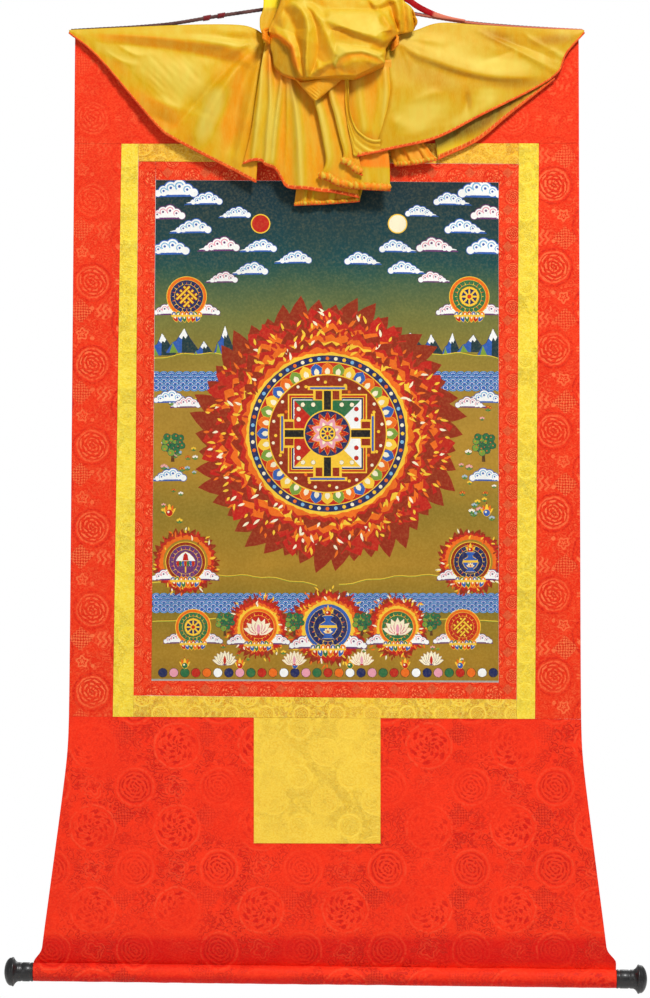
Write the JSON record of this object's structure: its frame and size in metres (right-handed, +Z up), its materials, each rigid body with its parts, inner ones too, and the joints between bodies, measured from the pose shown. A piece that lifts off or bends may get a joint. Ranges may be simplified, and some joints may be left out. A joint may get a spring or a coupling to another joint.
{
  "type": "brocade thangka hanging scroll",
  "caption": "Hanging scroll with a picture cloth in sewn brocade borders, a gathered satin veil over its top, a hanging cord, and a weight rod with turned knobs at its foot.",
  "frame": {"origin": "the hang point: the underside of the hanging cord at its top, behind the veil's bundle", "axes": "+Z up along the scroll's length, +Y from the front face to the back, towards the wall, +X to the right as seen from the front"},
  "size_m": [0.5922, 0.0692, 0.9315],
  "materials": {
    "red_brocade": "red damask brocade with a low raised figure",
    "yellow_brocade": "yellow damask brocade",
    "picture_cloth": "printed cloth, matt",
    "black_lacquer": "black lacquered turned wood, satin gloss",
    "rod_wood": "plain round rod",
    "satin": "golden satin with an orange overlocked hem",
    "cord": "dark twisted cord",
    "ribbon": "crimson ribbon"
  },
  "bodies": {
    "root": {"ground_top": "red_brocade", "ground_left": "red_brocade", "ground_right": "red_brocade", "ground_skirt": "red_brocade", "frame_left": "yellow_brocade", "frame_right": "yellow_brocade", "frame_top": "yellow_brocade", "frame_bottom": "yellow_brocade", "border_left": "red_brocade", "border_right": "red_brocade", "border_top": "red_brocade", "border_bottom": "red_brocade", "picture_panel": "picture_cloth", "door_patch": "yellow_brocade", "weight_rod": "rod_wood", "knob_left": "black_lacquer", "knob_right": "black_lacquer", "veil": "satin", "hanging_cord": "cord", "tie_ribbon": "ribbon"}
  },
  "joints": []
}
